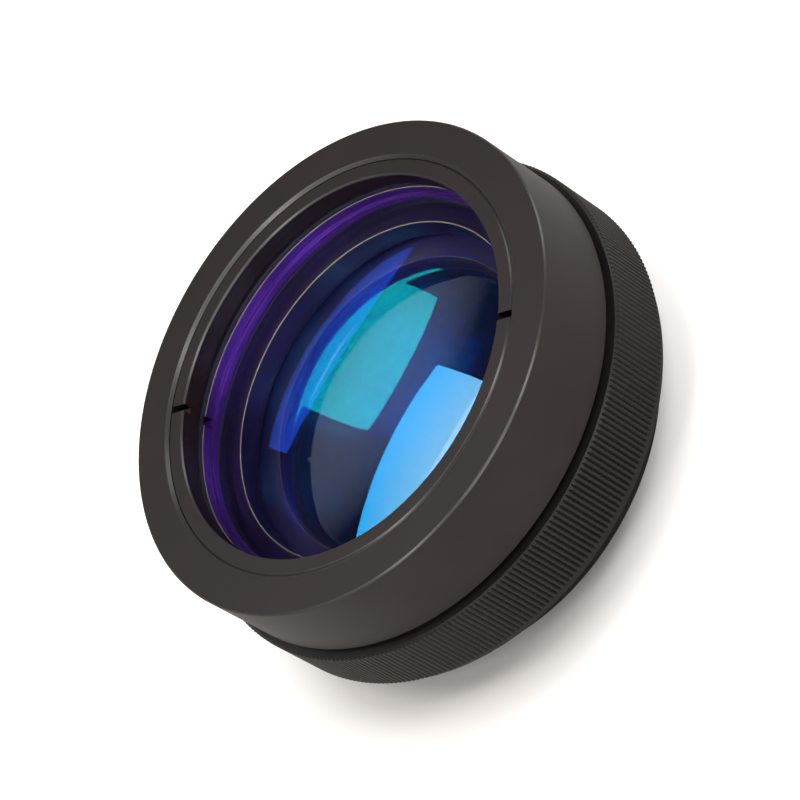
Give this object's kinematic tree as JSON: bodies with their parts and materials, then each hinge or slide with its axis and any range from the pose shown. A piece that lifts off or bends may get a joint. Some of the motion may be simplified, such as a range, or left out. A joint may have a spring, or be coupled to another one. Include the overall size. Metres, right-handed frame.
{
  "type": "f-theta scan lens",
  "caption": "Laser scan lens: coated glass elements in a black turned housing with a knurled grip ring, a slotted front ring and a male mounting thread.",
  "frame": {"origin": "centre of the rear end of the housing, on the optical axis, where the mounting thread ends", "axes": "+Z along the optical axis, out of the front window; +X through one of the two spanner slots of the front ring"},
  "size_m": [0.0987, 0.0986, 0.041],
  "materials": {
    "housing_anodised": "bead-blasted, satin black-brown anodised",
    "ring_anodised": "turned and knurled, satin black anodised",
    "inner_anodised": "matt black anodised against stray light",
    "window_glass": "flat polished, anti-reflection coated",
    "lens_glass": "polished, anti-reflection coated for 1064 nm, blue and violet residual colour",
    "seal_rubber": "smooth",
    "screw_steel": "blackened"
  },
  "bodies": {
    "root": {"front_housing": "housing_anodised", "knurled_ring": "ring_anodised", "rear_mount": "ring_anodised", "front_ring": "housing_anodised", "protective_window": "window_glass", "window_gasket": "seal_rubber", "output_lens_ring": "inner_anodised", "output_lens": "lens_glass", "front_spacer": "inner_anodised", "third_lens": "lens_glass", "entrance_cell": "inner_anodised", "second_lens": "lens_glass", "rear_spacer": "inner_anodised", "entrance_lens": "lens_glass", "entrance_seal": "seal_rubber", "rear_ring": "inner_anodised", "lock_screws": "screw_steel"}
  },
  "joints": []
}
